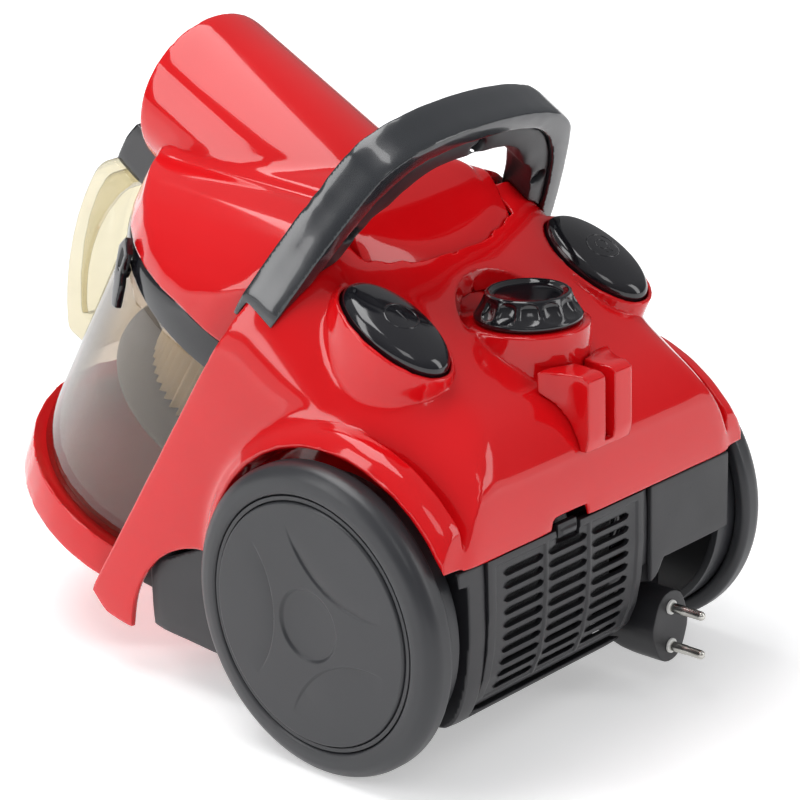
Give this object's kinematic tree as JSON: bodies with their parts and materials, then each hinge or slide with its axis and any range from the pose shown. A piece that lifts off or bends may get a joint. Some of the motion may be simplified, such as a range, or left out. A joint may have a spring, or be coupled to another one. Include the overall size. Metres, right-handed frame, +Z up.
{
  "type": "canister vacuum cleaner",
  "caption": "Compact bagless canister vacuum cleaner: red domed body on large side wheels, tilted clear dust cup, wide hose tube, arched carry handle, foot pedals and round dial.",
  "frame": {"origin": "on the floor under the middle of the overall box", "axes": "+Z up, -Y towards the hose end, +Y towards the exhaust end, +X the left side of the machine"},
  "size_m": [0.235, 0.3598, 0.2965],
  "materials": {
    "red_gloss": "glossy moulded red plastic",
    "charcoal_satin": "satin dark grey moulded plastic",
    "black_gloss": "glossy black plastic",
    "handle_grey": "semi-gloss dark grey plastic",
    "rubber": "smooth dark rubber",
    "smoke_clear": "clear smoky plastic",
    "beige_clear": "clear beige plastic",
    "filter_cream": "pleated filter paper",
    "grey_plastic": "plain grey plastic",
    "nickel": "nickel plate",
    "steel": "bright steel",
    "foam": "open-cell foam",
    "aluminium": "pressed aluminium"
  },
  "bodies": {
    "body": {"base_tray": "charcoal_satin", "upper_shell": "red_gloss", "front_cradle": "red_gloss", "cup_bay_wall": "charcoal_satin", "reel_cover_panel": "charcoal_satin", "parking_hook": "red_gloss", "exhaust_filter": "foam", "carry_handle_outer": "handle_grey", "carry_handle_inner": "charcoal_satin", "handle_screw_1": "steel", "handle_screw_2": "steel", "handle_screw_3": "steel", "power_switch": "grey_plastic", "reel_brake_plunger": "grey_plastic", "dial_regulator": "grey_plastic", "left_axle": "steel", "right_axle": "steel", "motor_housing": "aluminium", "motor_cradle": "charcoal_satin", "reel_axle": "steel", "reel_post": "charcoal_satin", "mains_plug": "charcoal_satin", "plug_pin_1": "nickel", "plug_pin_2": "nickel", "cord_gland": "black_gloss"},
    "exhaust_grille": {"exhaust_cover": "charcoal_satin"},
    "grille_latch": {"exhaust_cover_latch": "charcoal_satin"},
    "power_button": {"power_pedal": "black_gloss"},
    "rewind_button": {"cord_rewind_pedal": "black_gloss"},
    "dial": {"suction_dial": "black_gloss"},
    "left_wheel": {"left_tyre": "rubber", "left_wheel_disc": "charcoal_satin", "left_hubcap": "charcoal_satin"},
    "right_wheel": {"right_tyre": "rubber", "right_wheel_disc": "charcoal_satin", "right_hubcap": "charcoal_satin"},
    "caster_swivel": {"caster_fork": "charcoal_satin", "caster_pin": "steel"},
    "caster_roller": {"caster_wheel": "rubber"},
    "fan": {"fan_impeller": "aluminium"},
    "cord_reel": {"cord_reel_drum": "charcoal_satin", "wound_cord": "black_gloss"},
    "dust_cup_assembly": {"dust_cup": "smoke_clear", "cup_band": "black_gloss", "lid_shell": "red_gloss", "hose_socket": "charcoal_satin", "pleated_filter": "filter_cream", "filter_end_disc": "grey_plastic", "filter_plate": "charcoal_satin", "cup_grip": "beige_clear", "grip_bracket": "black_gloss"},
    "cup_release": {"release_button": "black_gloss"},
    "left_clip": {"left_lid_latch": "black_gloss"},
    "right_clip": {"right_lid_latch": "black_gloss"}
  },
  "joints": [
    {"name": "exhaust_grille_hinge", "type": "hinge", "parent": "body", "child": "exhaust_grille", "pos_m": [0.02325, 0.14898, 0.0302], "axis": [-1, 0, 0], "range_deg": [0, 75]},
    {"name": "grille_latch_slide", "type": "slide", "parent": "exhaust_grille", "child": "grille_latch", "axis": [0, 0, -1], "range_m": [0, 0.0015], "stiffness_N_per_m": 300, "springref_m": -0.002},
    {"name": "power_button_slide", "type": "slide", "parent": "body", "child": "power_button", "axis": [0, -0.4833, -0.8755], "range_m": [0, 0.004], "stiffness_N_per_m": 500, "springref_m": -0.003},
    {"name": "rewind_button_slide", "type": "slide", "parent": "body", "child": "rewind_button", "axis": [0, -0.4833, -0.8755], "range_m": [0, 0.004], "stiffness_N_per_m": 500, "springref_m": -0.003},
    {"name": "dial_turn", "type": "hinge", "parent": "body", "child": "dial", "pos_m": [0, 0.11898, 0.1824], "axis": [0, 0, 1], "range_deg": [-135, 135]},
    {"name": "left_wheel_roll", "type": "hinge", "parent": "body", "child": "left_wheel", "pos_m": [0.104, 0.09298, 0.07038], "axis": [1, 0, 0], "continuous": true},
    {"name": "right_wheel_roll", "type": "hinge", "parent": "body", "child": "right_wheel", "pos_m": [-0.104, 0.09298, 0.07038], "axis": [1, 0, 0], "continuous": true},
    {"name": "caster_swivel_turn", "type": "hinge", "parent": "body", "child": "caster_swivel", "pos_m": [0, -0.05302, 0.029], "axis": [0, 0, 1], "continuous": true},
    {"name": "caster_roll", "type": "hinge", "parent": "caster_swivel", "child": "caster_roller", "pos_m": [0, -0.04702, 0.0115], "axis": [1, 0, 0], "continuous": true},
    {"name": "fan_spin", "type": "hinge", "parent": "body", "child": "fan", "pos_m": [0.02, 0.09298, 0.08], "axis": [0, 1, 0], "continuous": true},
    {"name": "cord_reel_spin", "type": "hinge", "parent": "body", "child": "cord_reel", "pos_m": [-0.059, 0.09298, 0.078], "axis": [1, 0, 0], "continuous": true},
    {"name": "dust_cup_lift", "type": "slide", "parent": "body", "child": "dust_cup_assembly", "axis": [0, -0.5, 0.866], "range_m": [0, 0.3]},
    {"name": "cup_release_press", "type": "slide", "parent": "dust_cup_assembly", "child": "cup_release", "axis": [0, -0.5635, -0.8261], "range_m": [0, 0.0025], "stiffness_N_per_m": 400, "springref_m": -0.003},
    {"name": "left_clip_swing", "type": "hinge", "parent": "dust_cup_assembly", "child": "left_clip", "pos_m": [0.08637, -0.05291, 0.17942], "axis": [0.4695, 0.7294, -0.4976], "range_deg": [0, 25], "stiffness_Nm_per_rad": 0.05, "springref_deg": -11.46},
    {"name": "right_clip_swing", "type": "hinge", "parent": "dust_cup_assembly", "child": "right_clip", "pos_m": [-0.08637, -0.05291, 0.17942], "axis": [0.4695, -0.7294, 0.4976], "range_deg": [0, 25], "stiffness_Nm_per_rad": 0.05, "springref_deg": -11.46}
  ]
}
